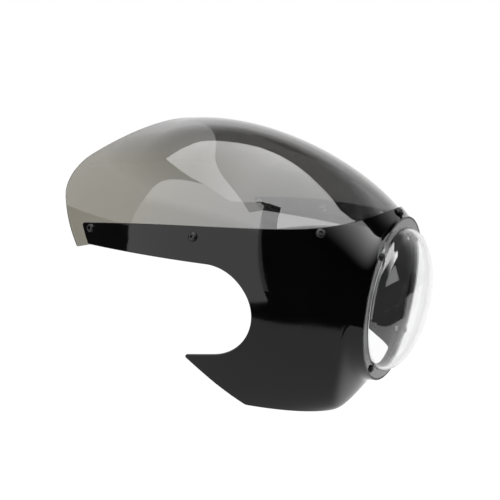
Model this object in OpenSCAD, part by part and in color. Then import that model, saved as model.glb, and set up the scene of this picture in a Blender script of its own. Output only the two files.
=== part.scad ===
// Headlight cowl: a moulded cowl, a smoked bubble windscreen inside its upper lip, a clear
// domed lens cover in its nose, and the screws, washers and nuts that hold them.
// The origin is the centre of the lens seat's front face. The front faces -Y, up is +Z.
// The skin is worked out from the front rim, which lies ahead of the seat by the flange.

/* [Body form] */
// Radius of the nose ring that frames the lens cover
nose_r = 87.2; // [87:0.2:96]
// Half of the width at the widest place
half_w = 172; // [155:1:190]
// Distance from the rim back to the widest place
widest_y = 350; // [320:5:390]
// Height of the crown above the lens axis
crown_h = 189; // [172:1:205]
// Distance from the rim back to the highest place
crown_y = 265; // [235:5:295]
// Height of the widest line above the lens axis, at the rear
waist_h = 28; // [18:1:34]
// Distance from the rim back to where the round nose flares out into the chin
chin_y = 16.5; // [14:0.5:18]
// How far the underside falls for each millimetre back from the rim
chin_slope = 0.53; // [0.45:0.01:0.65]
// Squareness of the chin's lower corners, where 2 is round
chin_square = 6; // [4:0.5:7]

/* [Cowl] */
// Wall of the cowl
cowl_t = 3; // [2.4:0.1:3.6]
// Height of the joint line above the lens axis, beside the lens
joint_h = 79.6; // [77:0.2:83]
// Lift of the joint line where it climbs over the nose
joint_lift = 25.5; // [22:0.5:27]
// Height of the bottom edge below the lens axis
bottom_h = 99; // [96:1:106]
// Height of the underside of the arms above the lens axis
arm_h = 43.2; // [38:0.2:46]
// Distance from the rim back to the lower corner of an arm's end
arm_y = 291; // [270:1:299]
// How far an arm's end leans back over its height
arm_lean = 15; // [5:1:25]
// Radius of the cut-out round a fork leg
fork_r = 46.5; // [38:0.5:50]
// Distance from the rim back to the front of the fork cut-out
fork_y = 92.5; // [86:0.5:105]
// Length of the wing under the fork cut-out
wing_l = 73; // [60:0.5:80]
// Distance from the rim back to where the wing leaves the bottom edge
wing_y = 98; // [88:1:106]

/* [Windscreen] */
// Thickness of the windscreen
screen_t = 3; // [2:0.1:4]
// Gap between the windscreen and the cowl's inner face
screen_gap = 0.2; // [0.15:0.05:0.4]
// How far the windscreen runs down behind the joint line, at the arms
screen_tuck = 23.5; // [20:0.5:28]
// How far the windscreen's tail reaches behind the arms' ends
screen_over = 56; // [40:1:60]
// Radius of the rounded corner of the tail
tail_r = 36; // [20:1:50]

/* [Lens cover] */
// Radius of the lens cover's flange
lens_r = 85.4; // [84:0.1:86]
// Thickness of the flange
flange_t = 3; // [2:0.5:4]
// Gap round the flange in its seat
lens_gap = 0.6; // [0.3:0.1:0.8]
// Radius of the dome where it leaves the flange
dome_r = 76; // [70:0.5:76]
// Height of the dome in front of the flange
dome_h = 31; // [20:1:45]
// Wall of the dome
dome_t = 2.5; // [2.2:0.1:2.8]
// Radius of the headlight opening
opening_r = 71.5; // [70.5:0.1:72.5]
// Thickness of the seat behind the flange
seat_t = 3; // [2:0.1:4]

/* [Fasteners] */
// Thread diameter of the windscreen's screws
screw_d = 5; // [4:1:5]
// Length of the windscreen's screws under the head
screw_l = 16; // [16:1:20]
// Thread diameter of the lens cover's screws
lens_screw_d = 4; // [3:1:4]
// Length of the lens cover's screws under the head
lens_screw_l = 14; // [14:1:18]
// Radius of the circle that the lens cover's screws lie on
lens_screw_circle = 80.5; // [80.3:0.1:81]
// Clearance round a screw in its hole
hole_gap = 0.25; // [0.15:0.05:0.4]
// Clearance under a nut's washer, because it bears on a curved wall
seat_gap = 0.45; // [0.25:0.05:0.5]

/* [Hidden] */
$fn = 48;

// Form of the skin, in plan, in profile and in section
side_pow = 2;
crown_pow = 1.8;
waist_run = 80;
section_run = 18;
upper_pow = 1.89;
chin_blend = 1.8;
chin_step = 5;
nose_draft = 0.15;
nose_dip = 2.6;
nose_dip_y = 6;

// Joint line between cowl and windscreen, in side view
joint_level_y = 80;
joint_fall = 0.0113;
joint_bow = 7.4;
joint_bow_run = 180;
joint_fade = 23.5;

// Outlines in side view
wing_angle = 12.5;
wing_tip_r = 2;
wing_belly_y = 29;
wing_belly_z = 18;
wing_belly_r = 60;
bottom_corner_r = 6;
arm_corner_r = 2.5;
tuck_nose = 10;
tuck_run = 60;
screen_behind_arm = 9;
screen_below_arm = 7.2;
screen_corner_r = 3;
tail_up = 53.3;
tail_forward = 39.6;

// Screws along each side: distance back from the rim, and drop below the joint line
side_seats = [[47, 5.4], [156.4, 10.3], [arm_y - 2.3, 6.2]];
// The screw on the crown of the nose: distance back from the rim
nose_seat_y = 6.8;
// The lens cover's screws, as angles round the lens
lens_screw_angles = [45, 135, 225, 315];

// Rows of the skin's mesh: shares of the round nose, steps across the flare, and the rest.
// The windscreen has the cowl's own rows and a few more behind them.
ring_steps = 72;
nose_rows = [0, 0.1, 0.2, 0.34, 0.5];
flare_rows = [-2.8, -1.7, -0.9, -0.2, 0.5, 1.2, 2, 3.2];
body_rows = 15;
tail_rows = 3;
row_spread = 1.35;
cowl_l = arm_y + arm_lean + 16;
edge_steps = 30;
edge_spread = 1.6;

// Depths behind the lens plane and under the skin
pocket_floor = flange_t;
seat_back = flange_t + seat_t;
screen_top = cowl_t + screen_gap;
screen_bottom = screen_top + screen_t;
pocket_r = lens_r + lens_gap;
washer_t = 1;
lens_washer_t = 0.8;
nut_slack = 0.1;
// Radius of a screw's head, as a share of the screw's diameter
head_width = 0.95;
screen_clear = 0.9;
far = 420;

// Quarter of a superellipse that leaves nose_r at y = 0 and is level from y_top back
function quarter(y, top, y_top, p) =
    let(run = y_top / pow(1 - pow(nose_r / top, p), 1 / p))
    top * pow(1 - pow(max(0, y_top - y) / run, p), 1 / p);

function side_w(y) = quarter(y, half_w, widest_y, side_pow);

// Crown of the skin, with the slight hollow just behind the nose ring
function crown(y) =
    quarter(y, crown_h, crown_y, crown_pow)
    - nose_dip * max(0, y / nose_dip_y) * exp(1 - y / nose_dip_y);

function waist(y) = waist_h * (1 - exp(-y / waist_run));

// 0 in the round nose and 1 in the chin
function flare(y) = 1 / (1 + exp((chin_y - y) / chin_blend));

function belly(y) =
    nose_r + waist(y) + nose_draft * y + flare(y) * (chin_step + (chin_slope - nose_draft) * y);

function top_pow(y) = 2 - (2 - upper_pow) * max(0, min(1, y / section_run));
function low_pow(y) = 2 + (chin_square - 2) * flare(y);

// Distance from the waist's centre out to the skin, at the angle a in the section at y
function skin_r(y, a) =
    let(up = sin(a) >= 0)
    let(n = up ? top_pow(y) : low_pow(y))
    let(v = up ? crown(y) - waist(y) : belly(y))
    pow(pow(abs(cos(a)) / side_w(y), n) + pow(abs(sin(a)) / v, n), -1 / n);

function skin(y, a) = [skin_r(y, a) * cos(a), y, waist(y) + skin_r(y, a) * sin(a)];

function unit(v) = v / norm(v);

// Outward normal of the skin, from its slopes along y and along the section
function skin_normal(y, a) =
    unit(cross(skin(y + 0.2, a) - skin(y - 0.2, a), skin(y, a + 0.2) - skin(y, a - 0.2)));

// A point at the depth d under the skin
function under(y, a, d) = skin(y, a) - d * skin_normal(y, a);

// Half width of the skin at a height z above the waist
function skin_x(y, z) =
    let(n = top_pow(y))
    side_w(y) * pow(1 - pow((z - waist(y)) / (crown(y) - waist(y)), n), 1 / n);

function joint_line(y) =
    joint_h - joint_fall * (y - joint_level_y)
    - joint_bow * pow((y - joint_level_y) / joint_bow_run, 2)
    + joint_lift * exp(-y / joint_fade);

function screen_edge(y) =
    joint_line(y) - tuck_nose - (screen_tuck - tuck_nose) * (1 - exp(-y / tuck_run));

// Seats of the windscreen's screws, as [distance back, angle in the section]
function side_seat(s) =
    let(z = joint_line(s[0]) - s[1])
    [s[0], atan2(z - waist(s[0]), skin_x(s[0], z))];

screen_seats = concat(
    [for (s = side_seats) side_seat(s)],
    [for (s = side_seats) [s[0], 180 - side_seat(s)[1]]],
    [[nose_seat_y, 90]]);

// Arc that rounds the corner b between a and c
function corner_arc(a, b, c, r) =
    let(u = unit(a - b))
    let(v = unit(c - b))
    let(half = acos(u * v) / 2)
    let(mid = b + unit(u + v) * r / sin(half))
    let(from = b + u * r / tan(half) - mid)
    let(to = b + v * r / tan(half) - mid)
    let(a0 = atan2(from[1], from[0]))
    let(turn = (atan2(to[1], to[0]) - a0 + 540) % 360 - 180)
    let(steps = max(2, ceil(abs(turn) / 8)))
    [for (i = [0 : steps]) mid + r * [cos(a0 + turn * i / steps), sin(a0 + turn * i / steps)]];

// Outline through corners given as [y, z, radius]
function rounded(corners) =
    let(n = len(corners))
    [for (i = [0 : n - 1])
        let(b = corners[i])
        let(p = [b[0], b[1]])
        let(a = corners[(i + n - 1) % n])
        let(c = corners[(i + 1) % n])
        each (b[2] == 0 ? [p] : corner_arc([a[0], a[1]], p, [c[0], c[1]], b[2]))];

// Faces of a grid of rows of m points, each row a closed loop
function grid_faces(rows, m) =
    [for (j = [0 : rows - 2]) for (i = [0 : m - 1])
        [j * m + i, j * m + (i + 1) % m, (j + 1) * m + (i + 1) % m, (j + 1) * m + i]];

// Distance back of the step k along an edge, with the finer steps in front
function edge_y(k, from, to) = from + (to - from) * pow(k / edge_steps, edge_spread);

// Side view of the cowl, with the fork cut-out and the wing below it
function cowl_outline() =
    let(cut_low = arm_h - fork_r - fork_r * tan(45 - wing_angle / 2))
    let(tip = [fork_y + wing_l * cos(wing_angle), cut_low - wing_l * sin(wing_angle)])
    let(arm_top_y = arm_y + arm_lean)
    rounded(concat(
        [[-10, -bottom_h, 0],
         [wing_y, -bottom_h, bottom_corner_r],
         [wing_y + wing_belly_y, wing_belly_z - bottom_h, wing_belly_r],
         [tip[0], tip[1], wing_tip_r],
         [fork_y, cut_low, fork_r],
         [fork_y, arm_h, fork_r],
         [arm_y, arm_h, arm_corner_r],
         [arm_top_y, joint_line(arm_top_y), arm_corner_r]],
        [for (k = [edge_steps - 2 : -1 : 0]) let(y = edge_y(k, 0, arm_top_y)) [y, joint_line(y), 0]],
        [[-10, joint_line(-10), 0]]));

// Side view of the windscreen, with its tucked lower edge and its rounded tail
function screen_outline() =
    let(front = seat_back + screen_clear)
    let(low_y = arm_y + arm_lean + screen_behind_arm)
    let(low_z = arm_h - screen_below_arm)
    let(tail_half = (tail_up + tail_forward) / 2)
    let(tail_y = arm_y + arm_lean + screen_over + tail_r * (cos(tail_up - tail_half) / sin(tail_half) - 1))
    let(tail_z = low_z + (tail_y - low_y) * tan(tail_up))
    let(top_y = tail_y - (far - tail_z) / tan(tail_forward))
    rounded(concat(
        [for (k = [0 : edge_steps - 2]) let(y = edge_y(k, front, low_y)) [y, screen_edge(y), 0]],
        [[low_y, low_z, screen_corner_r], [tail_y, tail_z, tail_r],
         [top_y, far, 0], [front, far, 0]]));

body_start = chin_y + flare_rows[len(flare_rows) - 1] * chin_blend;

// Distances back of the skin's rows
skin_rows = concat(
    [for (q = nose_rows) q * chin_y],
    [for (q = flare_rows) chin_y + q * chin_blend],
    [for (j = [1 : body_rows + tail_rows])
        body_start + (cowl_l - body_start) * pow(j / body_rows, row_spread)]);
cowl_rows = len(skin_rows) - 1 - tail_rows;

// Moves its children from the front rim's plane to the seat's
module placed() {
    translate([0, -pocket_floor, 0]) children();
}

module side_cut(outline) {
    rotate([90, 0, 90]) linear_extrude(2 * far, center = true) polygon(outline);
}

// Height that a head of radius r needs to clear the skin before and behind a seat
function head_lift(seat, r) =
    let(p = skin(seat[0], seat[1]))
    let(n = skin_normal(seat[0], seat[1]))
    max(0, max([for (k = [-1 : 0.25 : 1]) (skin(max(0, seat[0] + k * r), seat[1]) - p) * n]));

// Puts its children on the skin, with +Z along the outward normal
module at_skin(seat, depth) {
    n = skin_normal(seat[0], seat[1]);
    translate(under(seat[0], seat[1], depth))
        rotate([0, acos(n[2]), atan2(n[1], n[0])])
            children();
}

// Puts its children at each lens screw, with +Z forward out of the lens
module at_lens_screws(y) {
    for (a = lens_screw_angles)
        translate([lens_screw_circle * cos(a), y, lens_screw_circle * sin(a)])
            rotate([90, 0, 0]) children();
}

module cowl_skin() {
    angles = [for (i = [0 : ring_steps - 1]) 360 * i / ring_steps];
    core_r = opening_r - 4;
    rings = concat(
        [for (j = [cowl_rows : -1 : 0]) [for (a = angles) skin(skin_rows[j], a)]],
        [for (p = [[core_r, 0], [core_r, seat_back], [pocket_r, seat_back]])
            [for (a = angles) [p[0] * cos(a), p[1], p[0] * sin(a)]]],
        [for (j = [3 : cowl_rows]) [for (a = angles) under(skin_rows[j], a, cowl_t)]]);
    points = [for (r = rings) each r];
    // One more row of faces than rings, because the last ring joins the first at the rear
    polyhedron(points, [for (f = grid_faces(len(rings) + 1, ring_steps)) [for (k = f) k % len(points)]]);
}

module screen_sheet() {
    m = ring_steps / 2;
    rows = [for (j = [1 : len(skin_rows) - 1]) concat(
        [for (i = [0 : m]) under(skin_rows[j], 180 * i / m, screen_top)],
        [for (i = [m : -1 : 0]) under(skin_rows[j], 180 * i / m, screen_bottom)])];
    w = 2 * m + 2;
    last = (len(rows) - 1) * w;
    polyhedron([for (r = rows) each r], concat(
        [for (f = grid_faces(len(rows), w)) [f[3], f[2], f[1], f[0]]],
        [for (i = [0 : m - 1]) [i, i + 1, w - 2 - i, w - 1 - i]],
        [for (i = [0 : m - 1]) [last + w - 1 - i, last + w - 2 - i, last + i + 1, last + i]]));
}

module screen_holes() {
    for (s = screen_seats)
        at_skin(s, 0)
            cylinder(r = screw_d / 2 + hole_gap, h = 4 * screen_bottom, center = true);
}

module lens_holes() {
    at_lens_screws(pocket_floor)
        cylinder(r = lens_screw_d / 2 + hole_gap, h = 4 * seat_back, center = true);
}

// Turned solid about the lens axis, from a profile of [radius, y]
module turned(profile) {
    rotate([90, 0, 0])
        rotate_extrude($fn = 96)
            polygon([for (p = profile) [p[0], -p[1]]]);
}

// Screw with a domed head and a hexagon socket, its head above z = 0
module button_screw(d, length) {
    head_r = head_width * d;
    head_h = 0.55 * d;
    flat_r = 0.45 * d;
    key_r = 0.35 * d;
    difference() {
        union() {
            rotate_extrude()
                polygon(concat([[0, 0], [head_r, 0], [head_r, 0.2 * head_h]],
                    [for (k = [1 : 5])
                        let(t = 90 * k / 5)
                        [flat_r + (head_r - flat_r) * cos(t), head_h * (0.2 + 0.8 * sin(t))]],
                    [[0, head_h]]));
            translate([0, 0, -length]) cylinder(r = d / 2, h = length + 0.1);
        }
        translate([0, 0, 0.35 * head_h]) cylinder(r = key_r, h = head_h, $fn = 6);
    }
}

module washer(d, outer_r, t) {
    translate([0, 0, -t])
        difference() {
            cylinder(r = outer_r, h = t);
            translate([0, 0, -1]) cylinder(r = d / 2 + hole_gap, h = t + 2);
        }
}

// Hexagon nut with a round locking collar, below z = 0
module lock_nut(d) {
    across = 1.6 * d;
    hex_h = 0.7 * d;
    collar_h = 0.3 * d;
    difference() {
        union() {
            translate([0, 0, -hex_h]) cylinder(r = across / sqrt(3), h = hex_h, $fn = 6);
            translate([0, 0, -hex_h - collar_h]) cylinder(r = 0.42 * across, h = collar_h + 0.2);
        }
        translate([0, 0, -hex_h - collar_h - 1])
            cylinder(r = d / 2 + nut_slack, h = hex_h + collar_h + 2);
    }
}

module cowl_shell() {
    color([0.04, 0.04, 0.045])
        placed() difference() {
            intersection() {
                cowl_skin();
                side_cut(cowl_outline());
            }
            translate([0, pocket_floor, 0]) rotate([90, 0, 0]) cylinder(r = pocket_r, h = 20, $fn = 128);
            rotate([90, 0, 0]) cylinder(r = opening_r, h = 40, center = true, $fn = 128);
            screen_holes();
            lens_holes();
        }
}

module windscreen() {
    color([0.5, 0.49, 0.47, 0.6])
        placed() difference() {
            intersection() {
                screen_sheet();
                side_cut(screen_outline());
            }
            screen_holes();
        }
}

module lens_cover() {
    // Height of a dome of base radius r and height h at the radius x
    function dome(x, r, h) = -h * sqrt(1 - pow(x / r, 2));
    outer = [for (k = [24 : -1 : 0]) let(x = dome_r * sin(90 * k / 24)) [x, dome(x, dome_r, dome_h)]];
    inner_r = dome_r - dome_t;
    inner = [for (k = [0 : 24])
        let(x = inner_r * sin(90 * k / 24))
        [x, dome(x, inner_r, dome_h - dome_t)]];
    color([0.86, 0.9, 0.92, 0.45])
        placed() difference() {
            turned(concat(
                [[lens_r, 0]], outer, inner,
                [[inner_r, flange_t], [lens_r, flange_t]]));
            lens_holes();
        }
}

module windscreen_screws() {
    color([0.1, 0.1, 0.1])
        placed() for (s = screen_seats)
            at_skin(s, -head_lift(s, head_width * screw_d)) button_screw(screw_d, screw_l);
}

module windscreen_washers() {
    color([0.75, 0.75, 0.77])
        placed() for (s = screen_seats)
            at_skin(s, screen_bottom + seat_gap) washer(screw_d, screw_d, washer_t);
}

module windscreen_nuts() {
    color([0.7, 0.7, 0.72])
        placed() for (s = screen_seats)
            at_skin(s, screen_bottom + seat_gap + washer_t + nut_slack) lock_nut(screw_d);
}

module lens_screws() {
    color([0.1, 0.1, 0.1])
        placed() at_lens_screws(0) button_screw(lens_screw_d, lens_screw_l);
}

module lens_washers() {
    color([0.75, 0.75, 0.77])
        placed() at_lens_screws(seat_back + nut_slack) washer(lens_screw_d, lens_screw_d, lens_washer_t);
}

module lens_nuts() {
    color([0.7, 0.7, 0.72])
        placed() at_lens_screws(seat_back + 2 * nut_slack + lens_washer_t) lock_nut(lens_screw_d);
}

cowl_shell();
windscreen();
lens_cover();
windscreen_screws();
windscreen_washers();
windscreen_nuts();
lens_screws();
lens_washers();
lens_nuts();
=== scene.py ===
"""Looks of the headlight cowl: gloss black shell, smoked windscreen, clear lens and their fasteners."""

import math

import bpy
import numpy as np
from mathutils import Matrix, Vector
from mathutils.geometry import delaunay_2d_cdt
from mathutils.kdtree import KDTree


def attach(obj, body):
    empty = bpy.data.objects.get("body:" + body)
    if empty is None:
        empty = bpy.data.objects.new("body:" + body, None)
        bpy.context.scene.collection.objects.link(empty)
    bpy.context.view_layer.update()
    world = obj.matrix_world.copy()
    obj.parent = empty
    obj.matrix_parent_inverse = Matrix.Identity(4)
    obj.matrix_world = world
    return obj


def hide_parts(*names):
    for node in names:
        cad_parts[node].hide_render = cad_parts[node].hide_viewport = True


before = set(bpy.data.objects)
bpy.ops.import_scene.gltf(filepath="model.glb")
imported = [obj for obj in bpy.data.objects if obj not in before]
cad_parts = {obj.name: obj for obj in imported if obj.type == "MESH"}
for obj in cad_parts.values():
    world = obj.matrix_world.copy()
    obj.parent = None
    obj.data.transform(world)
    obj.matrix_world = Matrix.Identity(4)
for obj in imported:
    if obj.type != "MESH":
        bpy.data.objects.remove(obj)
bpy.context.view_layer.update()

# Sizes of the form in millimetres, as in the part's source, with y measured back from the front rim
NOSE_R, HALF_W, WIDEST_Y, CROWN_H, CROWN_Y, CROWN_POW = 87.2, 172.0, 350.0, 189.0, 265.0, 1.8
NOSE_DIP, NOSE_DIP_Y = 2.6, 6.0
WAIST_H, WAIST_RUN, SECTION_RUN, UPPER_POW = 28.0, 80.0, 14.0, 1.89
CHIN_Y, CHIN_BLEND, CHIN_STEP, CHIN_SLOPE, CHIN_SQUARE = 16.5, 1.8, 5.0, 0.53, 6.0
NOSE_DRAFT = 0.15
JOINT_H, JOINT_Y, JOINT_FALL, JOINT_BOW, JOINT_BOW_RUN = 79.6, 80.0, 0.0113, 7.4, 180.0
JOINT_LIFT, JOINT_FADE = 25.5, 23.5
COWL_T, BOTTOM_H, ARM_H, ARM_Y, ARM_LEAN = 3.0, 99.0, 43.2, 291.0, 15.0
FORK_R, FORK_Y, WING_L, WING_Y, WING_ANGLE = 46.5, 92.5, 73.0, 98.0, 12.5
WING_BEND_BACK, WING_BEND_UP, WING_BEND_R = 29.0, 18.0, 60.0
ARM_ROUND, TIP_ROUND, BOTTOM_ROUND, BOTTOM_Y = 2.5, 2.0, 6.0, 42.0
SCREEN_TOP, SCREEN_BOTTOM, SCREEN_FRONT = 3.2, 6.2, 6.9
LAP_H, LAP_DROP, LAP_RUN, LAP_Y, LAP_Z, LAP_ROUND = 10.0, 13.5, 60.0, 9.0, 7.2, 3.0
TAIL_R, TAIL_UP, TAIL_FORWARD, SCREEN_OVER, CREST_Z = 36.0, 53.3, 39.6, 56.0, 150.0
POCKET_R, POCKET_Y, OPENING_R, SEAT_BACK = 86.0, 3.0, 71.5, 6.0
LENS_R, DOME_R, DOME_H, DOME_T, DOME_END = 85.4, 76.0, 31.0, 2.5, 88.6
FLANGE_BACK, FLANGE_ROUND, FLANGE_BACK_ROUND, FOOT_FILLET = 2.9, 0.5, 0.4, 0.7
# How far back the joint and the windscreen's lower edge follow their curves, before straight ends
JOINT_LAST, EDGE_LAST = 274.0, 282.8
RIM_TO_ROW = 3.0

# Steps of the meshes, in millimetres or as counts, and the rounding of their edges
OUTLINE_GAP, COWL_GAP, SCREEN_GAP = 2.2, 2.8, 3.2
# How far each sheet's rows of points go back, and how far they are finer near the nose
COWL_LAST, COWL_FINE_Y, SCREEN_LAST, SCREEN_FINE_Y, SCREEN_LOW_ANGLE = 320, 30, 372, 20, -0.35
FIRST_ROW_Y, FINE_SPAN, ROW_STEP, FINE_ROW_STEP = 0.3, 0.8, 0.8, 0.42
# Room kept between a sheet's rows and its edges, as a share of its gap, and less near the nose
EDGE_ROOM, FINE_EDGE_ROOM = 0.55, 0.6
COWL_EDGE_R, SCREEN_EDGE_R, LIP_Y, LIP_R = 0.8, 0.7, 0.55, 0.4
CORNER_R, SEAT_CORNER_R = 0.4, 0.25
RING_STEPS, LENS_STEPS, DOME_STEPS, CURVE_POINTS = 240, 192, 40, 130


# The skin that both shells follow

def quarter(y, top, y_top, p):
    run = y_top / (1 - (NOSE_R / top) ** p) ** (1 / p)
    return top * (1 - (np.maximum(0, y_top - y) / run) ** p) ** (1 / p)


def side_w(y):
    return quarter(y, HALF_W, WIDEST_Y, 2)


def crown(y):
    dip = NOSE_DIP * np.maximum(0, y / NOSE_DIP_Y) * np.exp(1 - y / NOSE_DIP_Y)
    return quarter(y, CROWN_H, CROWN_Y, CROWN_POW) - dip


def waist(y):
    return WAIST_H * (1 - np.exp(-y / WAIST_RUN))


def flare(y):
    return 1 / (1 + np.exp((CHIN_Y - y) / CHIN_BLEND))


def belly(y):
    return NOSE_R + waist(y) + NOSE_DRAFT * y + flare(y) * (CHIN_STEP + (CHIN_SLOPE - NOSE_DRAFT) * y)


def skin(y, a):
    y, a = np.broadcast_arrays(np.asarray(y, float), np.asarray(a, float))
    up = np.sin(a) >= 0
    above = 2 - (2 - UPPER_POW) * np.tanh(np.maximum(y, 0) / SECTION_RUN)
    below = 2 + (CHIN_SQUARE - 2) * flare(y)
    power = np.where(up, above, below)
    high = np.where(up, crown(y) - waist(y), belly(y))
    r = ((np.abs(np.cos(a)) / side_w(y)) ** power + (np.abs(np.sin(a)) / high) ** power) ** (-1 / power)
    return np.stack([r * np.cos(a), y, waist(y) + r * np.sin(a)], -1)


def unit(v):
    return v / np.maximum(np.linalg.norm(v, axis=-1, keepdims=True), 1e-12)


def normal(y, a):
    along = skin(np.asarray(y) + 0.02, a) - skin(np.asarray(y) - 0.02, a)
    around = skin(y, np.asarray(a) + 2e-4) - skin(y, np.asarray(a) - 2e-4)
    return unit(np.cross(along, around))


def under(y, a, depth):
    return skin(y, a) - depth * normal(y, a)


def joint_line(y):
    past = y - JOINT_Y
    bow = JOINT_BOW * (past / JOINT_BOW_RUN) ** 2
    return JOINT_H - JOINT_FALL * past - bow + JOINT_LIFT * np.exp(-y / JOINT_FADE)


def screen_edge(y):
    return joint_line(y) - LAP_H - LAP_DROP * (1 - np.exp(-y / LAP_RUN))


# Outlines in side view, as rows of [distance back, height]

def rounded_path(corners, gap):
    """Open path through [y, z, radius] corners, its arcs and straights divided into short steps."""
    path = []
    for i, (y, z, r) in enumerate(corners):
        p = np.array([y, z])
        if r == 0 or i in (0, len(corners) - 1):
            path.append([p])
            continue
        u = unit(np.array(corners[i - 1][:2]) - p)
        v = unit(np.array(corners[i + 1][:2]) - p)
        half = math.acos(np.clip(u @ v, -1, 1)) / 2
        mid = p + unit(u + v) * r / math.sin(half)
        start, end = p + u * r / math.tan(half) - mid, p + v * r / math.tan(half) - mid
        a0 = math.atan2(start[1], start[0])
        turn = (math.atan2(end[1], end[0]) - a0 + 3 * math.pi) % (2 * math.pi) - math.pi
        steps = max(6, math.ceil(abs(turn) * r / gap))
        angles = a0 + turn * np.arange(steps + 1) / steps
        path.append(mid + r * np.stack([np.cos(angles), np.sin(angles)], -1))
    out = [path[0][0]]
    for piece in path[1:] if len(path[0]) == 1 else path:
        for q in piece:
            steps = max(1, math.ceil(np.linalg.norm(q - out[-1]) / gap))
            start = out[-1]
            out += [start + (q - start) * k / steps for k in range(1, steps + 1)]
    return np.array(out)


def on_skin(path, depth):
    """[y, angle] of the skin under which each point of a side-view path lies, on the +X side."""
    y, z = path[:, 0].copy(), path[:, 1].copy()
    a = np.arctan2(z - waist(y), side_w(y) * 0.9)
    for _ in range(40):
        p = under(y, a, depth)[:, 1:]
        miss = p - path
        dy = (under(y + 0.05, a, depth)[:, 1:] - p) / 0.05
        da = (under(y, a + 1e-3, depth)[:, 1:] - p) / 1e-3
        det = dy[:, 0] * da[:, 1] - dy[:, 1] * da[:, 0]
        step_y = (miss[:, 0] * da[:, 1] - miss[:, 1] * da[:, 0]) / det
        step_a = (dy[:, 0] * miss[:, 1] - dy[:, 1] * miss[:, 0]) / det
        y = y - np.clip(step_y, -8, 8)
        a = a - np.clip(step_a, -0.12, 0.12)
    return np.stack([y, a], -1)


def along_angle(angles, test, low, high):
    """[y, angle] where test(y, angle) turns from negative to positive as y grows."""
    lo, hi = np.full(len(angles), float(low)), np.full(len(angles), float(high))
    for _ in range(50):
        mid = (lo + hi) / 2
        after = test(mid, angles) > 0
        hi, lo = np.where(after, mid, hi), np.where(after, lo, mid)
    return np.stack([(lo + hi) / 2, angles], -1)


def spaced_angles(y, a0, a1, gap):
    """Angles from a0 to a1 at even steps round the section at y."""
    fine = np.linspace(a0, a1, 600)
    p = skin(y, fine)
    length = np.concatenate([[0], np.cumsum(np.linalg.norm(np.diff(p, axis=0), axis=1))])
    steps = max(2, int(round(length[-1] / gap)))
    return np.interp(np.linspace(0, length[-1], steps + 1), length, fine)


def mirrored(half):
    """Closed loop from its +X half, whose two ends are on the middle plane."""
    other = half[-2:0:-1].copy()
    other[:, 1] = math.pi - other[:, 1]
    return np.concatenate([half, other])


# Meshes with a normal at each corner of each face

class Build:
    def __init__(self):
        self.points, self.count, self.faces, self.normals, self.matte_and_painted_shade = [], 0, [], [], []

    def add(self, points, matte_and_painted_shade=0.0):
        points = np.asarray(points, float)
        self.matte_and_painted_shade.append(np.full(len(points), matte_and_painted_shade))
        ids = np.arange(self.count, self.count + len(points))
        self.points.append(points)
        self.count += len(points)
        return ids

    def face(self, ids, normals):
        self.faces.append(np.asarray(ids))
        self.normals.append(np.asarray(normals))

    def strip(self, ring_a, normal_a, ring_b, normal_b, closed=True):
        n = len(ring_a)
        i = np.arange(n if closed else n - 1)
        j = (i + 1) % n
        self.face(np.stack([ring_a[i], ring_a[j], ring_b[j], ring_b[i]], -1),
                  np.stack([normal_a[i], normal_a[j], normal_b[j], normal_b[i]], 1))

    def mesh(self, name):
        co = np.concatenate(self.points)
        faces, normals = [], []
        for ids, ns in zip(self.faces, self.normals):
            p = co[ids]
            flat = np.cross(p[:, 1] - p[:, 0], p[:, 2] - p[:, 0])
            if ids.shape[1] == 4:
                flat = flat + np.cross(p[:, 2] - p[:, 0], p[:, 3] - p[:, 0])
            wrong = np.einsum("ij,ij->i", flat, ns.mean(1)) < 0
            ids, ns = ids.copy(), ns.copy()
            ids[wrong], ns[wrong] = ids[wrong][:, ::-1], ns[wrong][:, ::-1]
            faces += ids.tolist()
            normals += ns.reshape(-1, 3).tolist()
        co = (co - [0, RIM_TO_ROW, 0]) / 1000
        mesh = bpy.data.meshes.new(name)
        mesh.from_pydata(co.tolist(), [], faces)
        mesh.polygons.foreach_set("use_smooth", np.ones(len(faces), bool))
        mesh.normals_split_custom_set(unit(np.array(normals)).tolist())
        # Per-point mark: the cowl's matte inside, and on the lens the back of the flange, made black as
        # painted shade
        mesh.attributes.new("matte_and_painted_shade", "FLOAT", "POINT").data.foreach_set("value", np.concatenate(self.matte_and_painted_shade))
        mesh.update()
        obj = bpy.data.objects.new(name, mesh)
        bpy.context.collection.objects.link(obj)
        return obj


def flat_map(ya):
    """The skin laid out as a disc, near enough to true shape for its triangles."""
    r = ((87 + 0.4 * ya[:, 0]) / 87) ** 2.5
    return np.stack([r * np.cos(ya[:, 1]), r * np.sin(ya[:, 1])], -1)


def inside(points, loop):
    x, y = points[:, 0], points[:, 1]
    found = np.zeros(len(points), bool)
    for p, q in zip(loop, np.roll(loop, -1, 0)):
        if p[1] == q[1]:
            continue
        across = (p[1] > y) != (q[1] > y)
        found ^= across & (x < (q[0] - p[0]) * (y - p[1]) / (q[1] - p[1]) + p[0])
    return found


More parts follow.
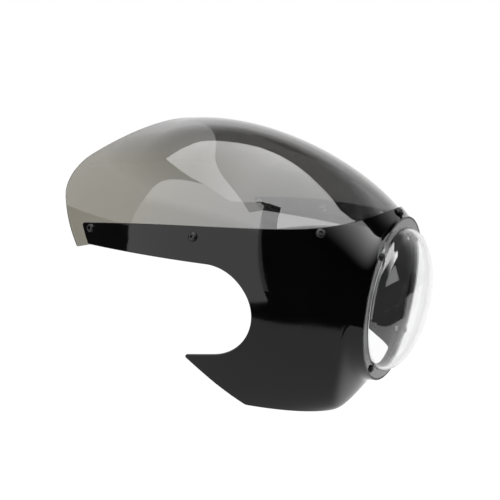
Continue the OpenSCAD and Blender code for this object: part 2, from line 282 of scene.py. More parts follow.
def sheet_grid(loops, low_angle, last_y, gap, fine_until):
    """[y, angle] points and triangles that fill the first loop, less the others."""
    y, inner, odd = FIRST_ROW_Y, [], False
    while y < last_y:
        near = y < fine_until
        span = gap * (FINE_SPAN if near else 1)
        half = spaced_angles(y, math.pi / 2, low_angle, span)
        if odd:
            half = (half[1:] + half[:-1]) / 2
        both = np.concatenate([half, math.pi - half[(0 if odd else 1):]])
        inner.append(np.stack([np.full(len(both), y), both], -1))
        y += gap * (FINE_ROW_STEP if near else ROW_STEP)
        odd = not odd
    inner = np.concatenate(inner)
    flat = [flat_map(loop) for loop in loops]
    keep = inside(flat_map(inner), flat[0])
    for hole in flat[1:]:
        keep &= ~inside(flat_map(inner), hole)
    inner = inner[keep]
    edge = np.concatenate(loops)
    tree = KDTree(len(edge))
    for k, p in enumerate(skin(edge[:, 0], edge[:, 1])):
        tree.insert(p, k)
    tree.balance()
    room = np.array([tree.find(p)[2] for p in skin(inner[:, 0], inner[:, 1])])
    inner = inner[room > EDGE_ROOM * gap * np.where(inner[:, 0] < fine_until, FINE_EDGE_ROOM, 1)]
    points = np.concatenate([edge, inner])
    edges, start = [], 0
    for loop in loops:
        n = len(loop)
        edges += [(start + k, start + (k + 1) % n) for k in range(n)]
        start += n
    plane = flat_map(points)
    co, _, tris, origin, _, _ = delaunay_2d_cdt([Vector(p) for p in plane], edges, [], 0, 1e-9)
    index = np.array([o[0] if o else -1 for o in origin])
    tris = index[np.array([t for t in tris if len(t) == 3])]
    tris = tris[(tris >= 0).all(1)]
    mid = plane[tris].mean(1)
    keep = inside(mid, flat[0])
    for hole in flat[1:]:
        keep &= ~inside(mid, hole)
    return points, tris[keep]


def inset_loop(loop, depth, r):
    """The loop's points, normals and outward directions, and the loop drawn in by r."""
    p, n = under(loop[:, 0], loop[:, 1], depth), normal(loop[:, 0], loop[:, 1])
    along = unit(np.roll(p, -1, 0) - np.roll(p, 1, 0))
    out = unit(np.cross(along, n))
    flat = flat_map(loop)
    x, y = flat[:, 0], flat[:, 1]
    turn = np.sum(x * np.roll(y, -1) - y * np.roll(x, -1))
    out *= 1 if turn > 0 else -1
    if np.mean(np.einsum("ij,ij->i", out, p - p.mean(0))) < 0:
        out = -out
    back = p - r * out + depth * n
    drawn = np.stack([back[:, 1], np.arctan2(back[:, 2] - waist(back[:, 1]), back[:, 0])], -1)
    drawn[:, 1] = loop[:, 1] + (drawn[:, 1] - loop[:, 1] + math.pi) % (2 * math.pi) - math.pi
    return p, n, out, drawn


def edge_rings(build, p, n, out, thick, r, top_ids, bottom_ids):
    """The rounded edge between the outer and inner sheets along one loop."""
    rings = [(top_ids, n)]
    for t in (30, 60, 90):
        c, s = math.cos(math.radians(t)), math.sin(math.radians(t))
        rings.append((build.add(p - r * (1 - s) * out - r * (1 - c) * n), unit(c * n + s * out)))
    for t in (0, 30, 60):
        c, s = math.cos(math.radians(t)), math.sin(math.radians(t))
        rings.append((build.add(p - r * (1 - c) * out - (thick - r + r * s) * n), unit(c * out - s * n)))
    rings.append((bottom_ids, -n))
    for (ia, na), (ib, nb) in zip(rings, rings[1:]):
        build.strip(ia, na, ib, nb)


def cowl_outer_half():
    """[y, angle] round the cowl's edge, from the crown's middle by the arm and wing to the bottom."""
    cut_low = ARM_H - FORK_R - FORK_R * math.tan(math.radians(45 - WING_ANGLE / 2))
    wing = math.radians(WING_ANGLE)
    tip = (FORK_Y + WING_L * math.cos(wing), cut_low - WING_L * math.sin(wing))
    top_y = ARM_Y + ARM_LEAN
    front = along_angle(spaced_angles(20, math.pi / 2, math.radians(52), OUTLINE_GAP),
                        lambda y, a: skin(y, a)[:, 2] - joint_line(y), 0, 90)
    joint = [[y, joint_line(y), 0] for y in np.linspace(front[-1, 0] + 2, JOINT_LAST, CURVE_POINTS)]
    path = rounded_path(joint + [
        [top_y, joint_line(top_y), ARM_ROUND],
        [ARM_Y, ARM_H, ARM_ROUND],
        [FORK_Y, ARM_H, FORK_R],
        [FORK_Y, cut_low, FORK_R],
        [tip[0], tip[1], TIP_ROUND],
        [WING_Y + WING_BEND_BACK, WING_BEND_UP - BOTTOM_H, WING_BEND_R],
        [WING_Y, -BOTTOM_H, BOTTOM_ROUND],
        [BOTTOM_Y, -BOTTOM_H, 0]], OUTLINE_GAP)
    middle = on_skin(path, 0)
    low = along_angle(spaced_angles(24, middle[-1, 1], -math.pi / 2, OUTLINE_GAP)[1:],
                      lambda y, a: -BOTTOM_H - skin(y, a)[:, 2], 0, 90)
    return np.concatenate([front, middle, low])


def cowl_shell():
    build = Build()
    outline = mirrored(cowl_outer_half())
    p, n, out, drawn = inset_loop(outline, 0, COWL_EDGE_R)
    ring = np.linspace(0, 2 * math.pi, RING_STEPS, endpoint=False)
    lip = np.stack([np.full(RING_STEPS, LIP_Y), ring], -1)
    # The ring where the inner sheet reaches the back of the seat, found by repeated steps
    back_y = np.full(RING_STEPS, 4.0)
    for _ in range(30):
        back_y = SEAT_BACK + COWL_T * normal(back_y, ring)[:, 1]
    inner_lip = np.stack([back_y, ring], -1)

    ya, tris = sheet_grid([drawn, lip], -math.pi / 2, COWL_LAST, COWL_GAP, COWL_FINE_Y)
    ns = normal(ya[:, 0], ya[:, 1])
    ids = build.add(skin(ya[:, 0], ya[:, 1]))
    build.face(ids[tris], ns[tris])
    top = ids[:len(drawn)]
    lip_ids = ids[len(drawn):len(drawn) + RING_STEPS]

    ya, tris = sheet_grid([drawn, inner_lip], -math.pi / 2, COWL_LAST, COWL_GAP, COWL_FINE_Y)
    ns = normal(ya[:, 0], ya[:, 1])
    ids = build.add(under(ya[:, 0], ya[:, 1], COWL_T), 1.0)
    build.face(ids[tris], -ns[tris])
    edge_rings(build, p, n, out, COWL_T, COWL_EDGE_R, top, ids[:len(drawn)])
    inner_ids = ids[len(drawn):len(drawn) + RING_STEPS]

    # The nose: a rounded lip, the lens's recess, its seat and the lamp's opening
    radial = np.stack([np.cos(ring), np.zeros(RING_STEPS), np.sin(ring)], -1)
    fore = np.tile([0.0, -1.0, 0.0], (RING_STEPS, 1))

    def at(r, y):
        return radial * r + [0, y, 0]

    s, o, f = skin(LIP_Y, ring), skin(0.0, ring), at(NOSE_R - LIP_R, 0)
    s_n = normal(lip[:, 0], ring)
    rings = [(lip_ids, s_n)]
    for t in (0.25, 0.5, 0.75, 1):
        q = (1 - t) ** 2 * s + 2 * t * (1 - t) * o + t * t * f
        rings.append((build.add(q), unit((1 - t) * s_n + t * fore)))

    def corner(r, y, dr, dy, n0, n1, steps=4):
        """Rounded corner of the profile at (r, y), from beside it to beyond it."""
        for k in range(steps + 1):
            t = k / steps
            q = ((1 - t) ** 2 * at(r + dr[0], y + dy[0]) + 2 * t * (1 - t) * at(r, y)
                 + t * t * at(r + dr[1], y + dy[1]))
            rings.append((build.add(q), unit((1 - t) * n0 + t * n1)))

    corner(POCKET_R, 0, (CORNER_R, 0), (0, CORNER_R), fore, -radial)
    corner(POCKET_R, POCKET_Y, (0, -SEAT_CORNER_R), (-SEAT_CORNER_R, 0), -radial, fore)
    corner(OPENING_R, POCKET_Y, (CORNER_R, 0), (0, CORNER_R), fore, -radial)
    corner(OPENING_R, SEAT_BACK, (0, CORNER_R), (-CORNER_R, 0), -radial, -fore)
    rings.append((inner_ids, -fore))
    for (ia, na), (ib, nb) in zip(rings, rings[1:]):
        build.strip(ia, na, ib, nb)
    return build.mesh("gloss_cowl")


def windscreen_half():
    """[y, angle] round the windscreen's edge, from the nose's middle by the tail to the crest."""
    low_y, low_z = ARM_Y + ARM_LEAN + LAP_Y, ARM_H - LAP_Z
    half = math.radians((TAIL_UP + TAIL_FORWARD) / 2)
    up, forward = math.radians(TAIL_UP), math.radians(TAIL_FORWARD)
    tail_y = ARM_Y + ARM_LEAN + SCREEN_OVER + TAIL_R * (math.cos(up - half) / math.sin(half) - 1)
    tail_z = low_z + (tail_y - low_y) * math.tan(up)
    top_y = tail_y - (CREST_Z - tail_z) / math.tan(forward)
    edge = [[y, float(screen_edge(y)), 0] for y in np.linspace(SCREEN_FRONT, EDGE_LAST, CURVE_POINTS)]
    edge.append([low_y, low_z, LAP_ROUND])
    path = rounded_path(edge + [[tail_y, tail_z, TAIL_R], [top_y, CREST_Z, 0]], OUTLINE_GAP)
    path = path[path[:, 1] < CREST_Z - 1]
    sides = on_skin(path, SCREEN_TOP)
    first, last = sides[0], sides[-1]
    nose = along_angle(spaced_angles(10, math.pi / 2, first[1], OUTLINE_GAP)[:-1],
                       lambda y, a: under(y, a, SCREEN_TOP)[:, 1] - SCREEN_FRONT, 0, 30)

    def past_tail(y, a):
        q = under(y, a, SCREEN_TOP)
        return (q[:, 1] - tail_y) + (q[:, 2] - tail_z) / math.tan(forward)

    crest = along_angle(spaced_angles(last[0], last[1], math.pi / 2, OUTLINE_GAP)[1:], past_tail, 150, 380)
    return np.concatenate([nose, sides, crest])


def windscreen():
    build = Build()
    outline = mirrored(windscreen_half())
    p, n, out, drawn = inset_loop(outline, SCREEN_TOP, SCREEN_EDGE_R)
    ya, tris = sheet_grid([drawn], SCREEN_LOW_ANGLE, SCREEN_LAST, SCREEN_GAP, SCREEN_FINE_Y)
    ns = normal(ya[:, 0], ya[:, 1])
    top = build.add(under(ya[:, 0], ya[:, 1], SCREEN_TOP))
    build.face(top[tris], ns[tris])
    low = build.add(under(ya[:, 0], ya[:, 1], SCREEN_BOTTOM))
    build.face(low[tris], -ns[tris])
    thick = SCREEN_BOTTOM - SCREEN_TOP
    edge_rings(build, p, n, out, thick, SCREEN_EDGE_R, top[:len(drawn)], low[:len(drawn)])
    return build.mesh("smoked_windscreen")


def lathe(name, profile, normals, matte_and_painted_shade, count=LENS_STEPS):
    """Closed solid turned about the lens's axis, from [radius, y] points and their normals."""
    build = Build()
    a = np.linspace(0, 2 * math.pi, count, endpoint=False)
    c, s = np.cos(a), np.sin(a)
    rings = []
    for (r, y), (nr, ny), black in zip(profile, normals, matte_and_painted_shade):
        if r < 1e-6:
            ids = np.repeat(build.add([[0, y, 0]]), count)
        else:
            ids = build.add(np.stack([r * c, np.full(count, y), r * s], -1), black)
        rings.append((ids, unit(np.stack([nr * c, np.full(count, float(ny)), nr * s], -1))))
    for (ia, na), (ib, nb) in zip(rings, rings[1:]):
        i = np.arange(count)
        j = (i + 1) % count
        if ia[0] == ia[1]:
            build.face(np.stack([ia[i], ib[j], ib[i]], -1), np.stack([na[i], nb[j], nb[i]], 1))
        elif ib[0] == ib[1]:
            build.face(np.stack([ia[i], ia[j], ib[i]], -1), np.stack([na[i], na[j], nb[i]], 1))
        else:
            build.strip(ia, na, ib, nb)
    return build.mesh(name)


def lens_profile():
    """Front of the dome, fillet, flange, back of the flange and inside of the dome."""
    points, normals = [], []

    def put(r, y, nr, ny):
        points.append((r, y))
        normals.append((nr, ny))

    def arc(r, y, radius, a0, a1, steps, inward=False):
        for k in range(steps + 1):
            t = math.radians(a0 + (a1 - a0) * k / steps)
            sign = -1 if inward else 1
            put(r + radius * math.cos(t), y + radius * math.sin(t), sign * math.cos(t), sign * math.sin(t))

    for k in range(DOME_STEPS + 1):
        t = math.radians(DOME_END * k / DOME_STEPS)
        put(DOME_R * math.sin(t), -DOME_H * math.cos(t), math.sin(t) / DOME_R, -math.cos(t) / DOME_H)
    arc(DOME_R + FOOT_FILLET, -FOOT_FILLET, FOOT_FILLET, 176, 90, 6, inward=True)
    arc(LENS_R - FLANGE_ROUND, FLANGE_ROUND, FLANGE_ROUND, -90, 0, 4)
    back = len(points)
    arc(LENS_R - FLANGE_BACK_ROUND, FLANGE_BACK - FLANGE_BACK_ROUND, FLANGE_BACK_ROUND, 0, 90, 4)
    inner_r, inner_h = DOME_R - DOME_T, DOME_H - DOME_T
    arc(inner_r + FLANGE_ROUND, FLANGE_BACK - FLANGE_ROUND, FLANGE_ROUND, 90, 180, 4)
    # The back of the flange is marked to be black, a painted shade in the cowl's recess
    matte_and_painted_shade = [float(back <= k < len(points) - 1) for k in range(len(points))]
    for k in range(DOME_STEPS + 1):
        t = math.radians(90 - 90 * k / DOME_STEPS)
        put(inner_r * math.sin(t), -inner_h * math.cos(t), -math.sin(t) / inner_r, math.cos(t) / inner_h)
    return points, normals, matte_and_painted_shade + [0.0] * (DOME_STEPS + 1)


# Materials

# The stretch of a noise value that counts
NOISE_LOW, NOISE_HIGH = 0.3, 0.7
# Places of a mix node's sockets
VALUE_A, VALUE_B, COLOUR_A, COLOUR_B, COLOUR_OUT = 2, 3, 6, 7, 2


def material(name, colour, rough, metallic=0.0, transmission=0.0, ior=1.5):
    mat = bpy.data.materials.new(name)
    mat.use_nodes = True
    shader = mat.node_tree.nodes["Principled BSDF"]
    shader.inputs["Base Color"].default_value = (*colour, 1)
    shader.inputs["Roughness"].default_value = rough
    shader.inputs["Metallic"].default_value = metallic
    shader.inputs["IOR"].default_value = ior
    shader.inputs["Transmission Weight"].default_value = transmission
    return mat, shader


def add(mat, kind, **values):
    node = mat.node_tree.nodes.new(kind)
    for key, value in values.items():
        if key in node.inputs:
            node.inputs[key].default_value = value
        else:
            setattr(node, key, value)
    return node


def math_node(tree, operation, a, b=0.0, clamp=False):
    node = tree.nodes.new("ShaderNodeMath")
    node.operation, node.use_clamp = operation, clamp
    for socket, value in zip(node.inputs, (a, b)):
        if isinstance(value, float):
            socket.default_value = value
        else:
            tree.links.new(value, socket)
    return node.outputs[0]


def noise(mat, scale, detail=3.0, rough=0.5):
    place = add(mat, "ShaderNodeTexCoord")
    tex = add(mat, "ShaderNodeTexNoise", Scale=scale, Detail=detail, Roughness=rough)
    mat.node_tree.links.new(place.outputs["Object"], tex.inputs["Vector"])
    return tex.outputs["Fac"]


def spread(mat, value, low, high, into):
    """Sends a noise value, stretched between low and high, to a socket."""
    ramp = add(mat, "ShaderNodeMapRange")
    ramp.inputs["From Min"].default_value = NOISE_LOW
    ramp.inputs["From Max"].default_value = NOISE_HIGH
    ramp.inputs["To Min"].default_value = low
    ramp.inputs["To Max"].default_value = high
    mat.node_tree.links.new(value, ramp.inputs["Value"])
    mat.node_tree.links.new(ramp.outputs["Result"], into)


def blend_colour(mat, value, low, high, into):
    """Sends a colour to a socket, from low to high as a noise value grows."""
    ramp = add(mat, "ShaderNodeValToRGB")
    for stop, place, colour in zip(ramp.color_ramp.elements, (NOISE_LOW, NOISE_HIGH), (low, high)):
        stop.position = place
        stop.color = (*colour, 1)
    mat.node_tree.links.new(value, ramp.inputs["Fac"])
    mat.node_tree.links.new(ramp.outputs["Color"], into)


def grow(mat, value, start, end):
    """0 where the value is at start, 1 where it is at end."""
    ramp = add(mat, "ShaderNodeMapRange")
    ramp.inputs["From Min"].default_value = start
    ramp.inputs["From Max"].default_value = end
    mat.node_tree.links.new(value, ramp.inputs["Value"])
    return ramp.outputs["Result"]


def bump(mat, shader, value, strength, distance):
    node = add(mat, "ShaderNodeBump", Strength=strength, Distance=distance)
    mat.node_tree.links.new(value, node.inputs["Height"])
    mat.node_tree.links.new(node.outputs["Normal"], shader.inputs["Normal"])


def gloss_black():
    """Gloss outside, as moulded and duller inside."""
    mat, shader = material("gloss_black_plastic", (0.003, 0.003, 0.0034), 0.05, ior=1.35)
    tree = mat.node_tree
    matte_and_painted_shade = add(mat, "ShaderNodeAttribute", attribute_name="matte_and_painted_shade").outputs["Fac"]
    colour = add(mat, "ShaderNodeMix", data_type="RGBA")
    rough = add(mat, "ShaderNodeMix", data_type="FLOAT")
    tree.links.new(matte_and_painted_shade, colour.inputs["Factor"])
    tree.links.new(matte_and_painted_shade, rough.inputs["Factor"])
    fine = noise(mat, 45, 4)
    outer, inner = colour.inputs[COLOUR_A], colour.inputs[COLOUR_B]
    blend_colour(mat, noise(mat, 14), (0.0012, 0.0012, 0.0014), (0.0024, 0.0024, 0.0027), outer)
    blend_colour(mat, fine, (0.005, 0.005, 0.0053), (0.009, 0.009, 0.0094), inner)
    spread(mat, fine, 0.035, 0.07, rough.inputs[VALUE_A])
    spread(mat, fine, 0.42, 0.58, rough.inputs[VALUE_B])
    tree.links.new(colour.outputs[COLOUR_OUT], shader.inputs["Base Color"])
    tree.links.new(rough.outputs[0], shader.inputs["Roughness"])
    bump(mat, shader, noise(mat, 260, 1), 0.05, 0.0001)
    return mat


def smoked():
    """Smoked acrylic, a little warmer low down at the back."""
    mat, shader = material("smoked_acrylic", (0.245, 0.24, 0.232), 0.0, transmission=1.0, ior=1.49)
    tree = mat.node_tree
    split = add(mat, "ShaderNodeSeparateXYZ")
    tree.links.new(add(mat, "ShaderNodeTexCoord").outputs["Object"], split.inputs[0])
    back = grow(mat, split.outputs["Y"], 0.1, 0.25)
    low = grow(mat, split.outputs["Z"], 0.175, 0.13)
    tint = add(mat, "ShaderNodeMix", data_type="RGBA")
    tree.links.new(math_node(tree, "MULTIPLY", back, low), tint.inputs["Factor"])
    cloud = noise(mat, 5)
    blend_colour(mat, cloud, (0.233, 0.233, 0.232), (0.246, 0.246, 0.245), tint.inputs[COLOUR_A])
    blend_colour(mat, cloud, (0.257, 0.243, 0.205), (0.27, 0.256, 0.218), tint.inputs[COLOUR_B])
    tree.links.new(tint.outputs[COLOUR_OUT], shader.inputs["Base Color"])
    bump(mat, shader, noise(mat, 9, 1), 0.04, 0.001)
    return mat


def clear():
    """Clear lens; the back of its flange is black and opaque, a painted shade that darkens the ring where
    the flange sits in the cowl's recess.
    """
    mat, shader = material("clear_polycarbonate", (0.985, 0.99, 0.99), 0.0, transmission=1.0, ior=1.56)
    tree = mat.node_tree
    # The marked back of the flange is black and lets no light through: painted shade in the recess
    black = add(mat, "ShaderNodeAttribute", attribute_name="matte_and_painted_shade").outputs["Fac"]
    colour = add(mat, "ShaderNodeMix", data_type="RGBA")
    see = add(mat, "ShaderNodeMix", data_type="FLOAT")
    tree.links.new(black, colour.inputs["Factor"])
    tree.links.new(black, see.inputs["Factor"])
    blend_colour(mat, noise(mat, 12), (0.93, 0.935, 0.935), (0.945, 0.945, 0.945), colour.inputs[COLOUR_A])
    colour.inputs[COLOUR_B].default_value = (0.004, 0.004, 0.004, 1)
    see.inputs[VALUE_A].default_value = 1.0
    see.inputs[VALUE_B].default_value = 0.0
    tree.links.new(colour.outputs[COLOUR_OUT], shader.inputs["Base Color"])
    tree.links.new(see.outputs[0], shader.inputs["Transmission Weight"])
    bump(mat, shader, noise(mat, 11, 1), 0.03, 0.001)
    return mat


def black_steel():
    mat, shader = material("black_oxide_steel", (0.02, 0.02, 0.022), 0.35, metallic=0.6)
    base = shader.inputs["Base Color"]
    blend_colour(mat, noise(mat, 900), (0.012, 0.012, 0.013), (0.03, 0.03, 0.032), base)
    spread(mat, noise(mat, 1500), 0.26, 0.42, shader.inputs["Roughness"])
    bump(mat, shader, noise(mat, 3000), 0.2, 0.00005)
    return mat


def zinc():
    mat, shader = material("zinc_plated_steel", (0.72, 0.73, 0.75), 0.3, metallic=1.0)
    blend_colour(mat, noise(mat, 600), (0.62, 0.63, 0.66), (0.8, 0.8, 0.8), shader.inputs["Base Color"])
    spread(mat, noise(mat, 1100), 0.22, 0.38, shader.inputs["Roughness"])
    bump(mat, shader, noise(mat, 2500), 0.15, 0.00005)
    return mat


def dress(obj, mat, node):
    """Gives a piece its material and slot, and puts it in place of the node."""
    obj.data.materials.append(mat)
    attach(obj, "root")
    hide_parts(node)


dress(cowl_shell(), gloss_black(), "cowl_shell")
dress(windscreen(), smoked(), "windscreen")
dress(lathe("clear_lens", *lens_profile()), clear(), "lens_cover")

black, plated = black_steel(), zinc()
fasteners = (
    ("windscreen_screws", black), ("windscreen_washers", plated), ("windscreen_nuts", plated),
    ("lens_screws", black), ("lens_washers", plated), ("lens_nuts", plated))
for node, mat in fasteners:
    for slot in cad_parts[node].material_slots:
        slot.material = mat

# Camera: the photograph's place and the directions of its right, down and forward
CAMERA_PLACE, CAMERA_LENS, CAMERA_SENSOR = (-0.4455, -0.13537, 0.16037), 31.68, 36.0
CAMERA_RIGHT = (0.59292, -0.80497, 0.02164)
CAMERA_DOWN = (-0.18549, -0.16268, -0.96909)
CAMERA_FORWARD = (0.7836, 0.57058, -0.24577)
camera_data = bpy.data.cameras.new("camera")
camera_data.sensor_width = CAMERA_SENSOR
camera_data.lens = CAMERA_LENS
camera_data.clip_start = 0.01
camera_data.clip_end = 60
camera = bpy.data.objects.new("camera", camera_data)
bpy.context.collection.objects.link(camera)
turn = Matrix([CAMERA_RIGHT, [-v for v in CAMERA_DOWN], [-v for v in CAMERA_FORWARD]]).transposed()
camera.matrix_world = Matrix.Translation(CAMERA_PLACE) @ turn.to_4x4()
bpy.context.scene.camera = camera
bpy.context.scene.view_settings.view_transform = "Standard"


def seen_by(tree):
    """1 for rays that show the background: seen directly, in gloss or through glass."""
    path = tree.nodes.new("ShaderNodeLightPath")
    both = math_node(tree, "MAXIMUM", path.outputs["Is Camera Ray"], path.outputs["Is Glossy Ray"])
    return math_node(tree, "MAXIMUM", both, path.outputs["Is Transmission Ray"])


# World: white behind the object, a plain level of light on it
world = bpy.data.worlds.new("world")
bpy.context.scene.world = world
world.use_nodes = True
nodes = world.node_tree.nodes
links = world.node_tree.links
nodes.clear()
plain = nodes.new("ShaderNodeBackground")
white = nodes.new("ShaderNodeBackground")
mixed = nodes.new("ShaderNodeMixShader")
for background, strength in ((plain, 0.75), (white, 1.0)):
    background.inputs["Color"].default_value = (1, 1, 1, 1)
    background.inputs["Strength"].default_value = strength
links.new(seen_by(world.node_tree), mixed.inputs["Fac"])
links.new(plain.outputs[0], mixed.inputs[1])
links.new(white.outputs[0], mixed.inputs[2])
links.new(mixed.outputs[0], nodes.new("ShaderNodeOutputWorld").inputs["Surface"])


def staged(name, points, faces):
    mesh = bpy.data.meshes.new(name)
    mesh.from_pydata(points, [], faces)
    obj = bpy.data.objects.new(name, mesh)
    bpy.context.collection.objects.link(obj)
    return obj


def panel(name, corners):
    return staged(name, corners, [list(range(len(corners)))])


def ribbon(name, first, second):
    """Band between two rows of points."""
    n = len(first)
    return staged(name, first + second, [(i, i + 1, i + 1 + n, i + n) for i in range(n - 1)])


def floor_material():
    """Pale floor that shows white, less the object's shadow."""
    mat, shader = material("floor", (0.8, 0.8, 0.8), 0.8)
    tree = mat.node_tree
    blend_colour(mat, noise(mat, 3), (0.79, 0.79, 0.79), (0.81, 0.81, 0.81), shader.inputs["Base Color"])
    shader.inputs["Specular IOR Level"].default_value = 0.0
    glow = add(mat, "ShaderNodeEmission", Strength=FLOOR_GLOW)
    half = add(mat, "ShaderNodeMixShader", Fac=0.5)
    show = add(mat, "ShaderNodeMixShader")
    tree.links.new(shader.outputs[0], half.inputs[1])
    tree.links.new(glow.outputs[0], half.inputs[2])
    tree.links.new(seen_by(tree), show.inputs["Fac"])
    tree.links.new(shader.outputs[0], show.inputs[1])
    tree.links.new(half.outputs[0], show.inputs[2])
    tree.links.new(show.outputs[0], tree.nodes["Material Output"].inputs["Surface"])
    return mat


def square(half, z):
    return [(x, y, z) for x, y in ((-half, -half), (half, -half), (half, half), (-half, half))]


FLOOR_Z, FLOOR_HALF, FLOOR_GLOW = -0.42, 9, 1.42
floor = panel("floor", square(FLOOR_HALF, FLOOR_Z))
floor.data.materials.append(floor_material())


def lamp(name, place, size):
    """Soft square lamp that lights the object and leaves its reflections to the panels."""
    data = bpy.data.lights.new(name, "AREA")
    data.shape = "RECTANGLE"
    data.size = data.size_y = size
    data.energy = LAMP_LEVEL * math.pi * size * size
    obj = bpy.data.objects.new(name, data)
    bpy.context.collection.objects.link(obj)
    obj.location = place
    obj.rotation_mode = "QUATERNION"
    obj.rotation_quaternion = (Vector(OBJECT_MIDDLE) - Vector(place)).to_track_quat("-Z", "Y")
    obj.visible_camera = obj.visible_glossy = obj.visible_transmission = False


OBJECT_MIDDLE, LAMP_LEVEL = (0, 0.15, 0), 0.4
lamp("overhead_lamp", (-0.2, 0.1, 1.3), 1.6)
lamp("side_lamp", (-1.3, 0.3, 0.7), 1.2)


# What the gloss reflects: two bright softboxes, a dark ceiling and the studio's dark sides

def reflected(obj, level, alpha=None):
    """A panel of the given brightness that shows in reflections and not through the glass."""
    mat = bpy.data.materials.new(obj.name)
    mat.use_nodes = True
    tree = mat.node_tree
    tree.nodes.clear()
    glow = tree.nodes.new("ShaderNodeEmission")
    out = tree.nodes.new("ShaderNodeOutputMaterial")
    if isinstance(level, float):
        glow.inputs["Strength"].default_value = level
    else:
        tree.links.new(level(tree), glow.inputs["Strength"])
    bounces = tree.nodes.new("ShaderNodeLightPath").outputs["Glossy Depth"]
    hidden = math_node(tree, "LESS_THAN", bounces, 0.5)
    if alpha:
        hidden = math_node(tree, "MAXIMUM", hidden, alpha(tree))
    mix = tree.nodes.new("ShaderNodeMixShader")
    through = tree.nodes.new("ShaderNodeBsdfTransparent")
    tree.links.new(hidden, mix.inputs["Fac"])
    tree.links.new(glow.outputs[0], mix.inputs[1])
    tree.links.new(through.outputs[0], mix.inputs[2])
    tree.links.new(mix.outputs[0], out.inputs["Surface"])
    obj.data.materials.append(mat)
    obj.visible_camera = obj.visible_diffuse = obj.visible_shadow = False
    obj.visible_volume_scatter = False


def place_of(tree):
    split = tree.nodes.new("ShaderNodeSeparateXYZ")
    tree.links.new(tree.nodes.new("ShaderNodeNewGeometry").outputs["Position"], split.inputs[0])
    return split.outputs


def clamped(tree, value, scale=1.0):
    """The value times its scale, held between 0 and 1."""
    return math_node(tree, "MULTIPLY", value, scale, clamp=True)


def weigh(tree, start, *terms):
    """start + the sum of each value times its weight."""
    total = start
    for value, weight in terms:
        total = math_node(tree, "ADD", math_node(tree, "MULTIPLY", value, weight), total)
    return total


def overhead_level(tree):
    """Strong behind a slanted line, less so at the rear; in front of the line it fades to the left."""
    x, y, _ = place_of(tree)
    behind = clamped(tree, weigh(tree, 0.68, (x, 0.45), (y, 1.0)), 33.0)
    across = clamped(tree, weigh(tree, 0.476, (x, 1.0), (y, -0.23)))
    front = math_node(tree, "MULTIPLY", math_node(tree, "POWER", across, 1.63), 10.0)
    rear = clamped(tree, math_node(tree, "SUBTRACT", y, 0.25), 2.5)
    back = weigh(tree, 5.3, (rear, -2.0))
    more = math_node(tree, "MULTIPLY", behind, math_node(tree, "SUBTRACT", back, front))
    return math_node(tree, "ADD", front, more)


def side_level(tree):
    """Even where the shell shows it, brighter above."""
    _, _, z = place_of(tree)
    high = clamped(tree, math_node(tree, "SUBTRACT", z, 0.95), 3.3)
    return weigh(tree, 2.1, (high, 1.2))


def ceiling_fade(tree):
    """0 over the object, 1 out where the white background begins."""
    x, y, _ = place_of(tree)
    x = math_node(tree, "SUBTRACT", x, 0.34)
    y = math_node(tree, "SUBTRACT", y, 0.48)
    squares = math_node(tree, "ADD", math_node(tree, "MULTIPLY", x, x), math_node(tree, "MULTIPLY", y, y))
    r = math_node(tree, "SQRT", squares)
    return clamped(tree, math_node(tree, "SUBTRACT", r, 1.78), 0.73)


SIDE_X, OVER_Z, CEILING_Z, CEILING_HALF, WALL_R, WALL_STEPS = -1.25, 1.1, 2.6, 4.5, 2.4, 23
DARK = 0.01
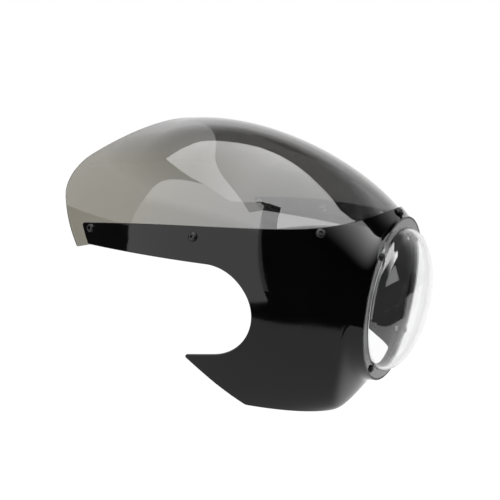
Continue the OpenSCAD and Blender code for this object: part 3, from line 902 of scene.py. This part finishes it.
# Outlines of the side softbox, by distance back and height, and of the overhead one, from above
side_edge = [
    (-0.09, FLOOR_Z), (1.0, FLOOR_Z), (1.0, 0.2), (1.08, 0.5), (1.27, 1.14), (1.52, 1.76), (1.61, 2.05),
    (1.6, 2.27), (1.48, 2.42), (1.33, 2.47), (-0.09, 2.47)]
reflected(panel("side_softbox", [(SIDE_X, y, z) for y, z in side_edge]), side_level)
over_edge = [
    (-0.54, 0.04), (-0.68, 0.16), (-0.76, 0.28), (-0.66, 0.42), (-0.59, 0.52), (-0.53, 0.64), (-0.41, 0.77),
    (-0.26, 0.92), (-0.05, 0.85), (0.16, 0.78), (0.23, 0.71), (0.3, 0.58), (0.38, 0.43), (0.39, 0.28),
    (0.35, 0.11), (0.26, -0.09), (0.19, -0.26), (0.1, -0.42), (0.14, -0.6), (0.27, -0.68), (0.33, -0.9),
    (0.25, -1.08), (-0.1, -1.22), (-0.35, -1.38), (-0.55, -1.65), (-0.7, -1.9), (-1.1, -1.9), (-1.1, -0.26),
    (-0.93, -0.21), (-0.76, -0.16), (-0.61, -0.13), (-0.49, -0.1), (-0.51, -0.03)]
reflected(panel("overhead_softbox", [(x, y, OVER_Z) for x, y in over_edge]), overhead_level)
reflected(panel("dark_ceiling", square(CEILING_HALF, CEILING_Z)), DARK, ceiling_fade)


def wall_fade(tree):
    """0 in front of the object, 1 beside its far side."""
    x, _, _ = place_of(tree)
    return math_node(tree, "POWER", clamped(tree, weigh(tree, -1.2, (x, 1.0)), 1.01), 2.5)


def wall(name, start, end, top, level, alpha=None):
    """Curved dark wall round the object between two azimuths, in degrees from +Y towards +X."""
    turns = np.radians(np.linspace(start, end, WALL_STEPS + 1))
    rows = [[(WALL_R * math.sin(t), WALL_R * math.cos(t), z) for t in turns] for z in (FLOOR_Z, top)]
    reflected(ribbon(name, *rows), level, alpha)


wall("dark_front", -98, -247, 3.2, DARK, wall_fade)
wall("dark_rear", -56, -12, 0.65, 0.06)

# A small bright card close to the lens
LENS_CARD_Y, LENS_CARD_LEVEL = -0.22, 1.7
lens_card = [(-0.18, 0.121), (0.003, 0.072), (-0.034, 0.204), (-0.1, 0.2), (-0.18, 0.17)]
reflected(panel("lens_card", [(x, LENS_CARD_Y, z) for x, z in lens_card]), LENS_CARD_LEVEL)

# Beyond the white floor under the object the ground is dark
GROUND_LIFT = 0.002
near = [
    (-1.14, 0.1), (-1.1, 0.0), (-1.07, -0.08), (-1.04, -0.17), (-0.995, -0.31), (-0.935, -0.435),
    (-0.86, -0.54), (-0.79, -0.62), (-0.67, -0.575), (-0.61, -0.655), (-0.38, -0.77), (0.0, -0.87),
    (0.35, -0.93), (0.63, -0.9)]
far = []
for x, y in near:
    reach = WALL_R / math.hypot(x, y)
    far.append((x * reach, y * reach))
ground = [[(x, y, FLOOR_Z + GROUND_LIFT) for x, y in ring] for ring in (near, far)]
reflected(ribbon("dark_ground", *ground), DARK)
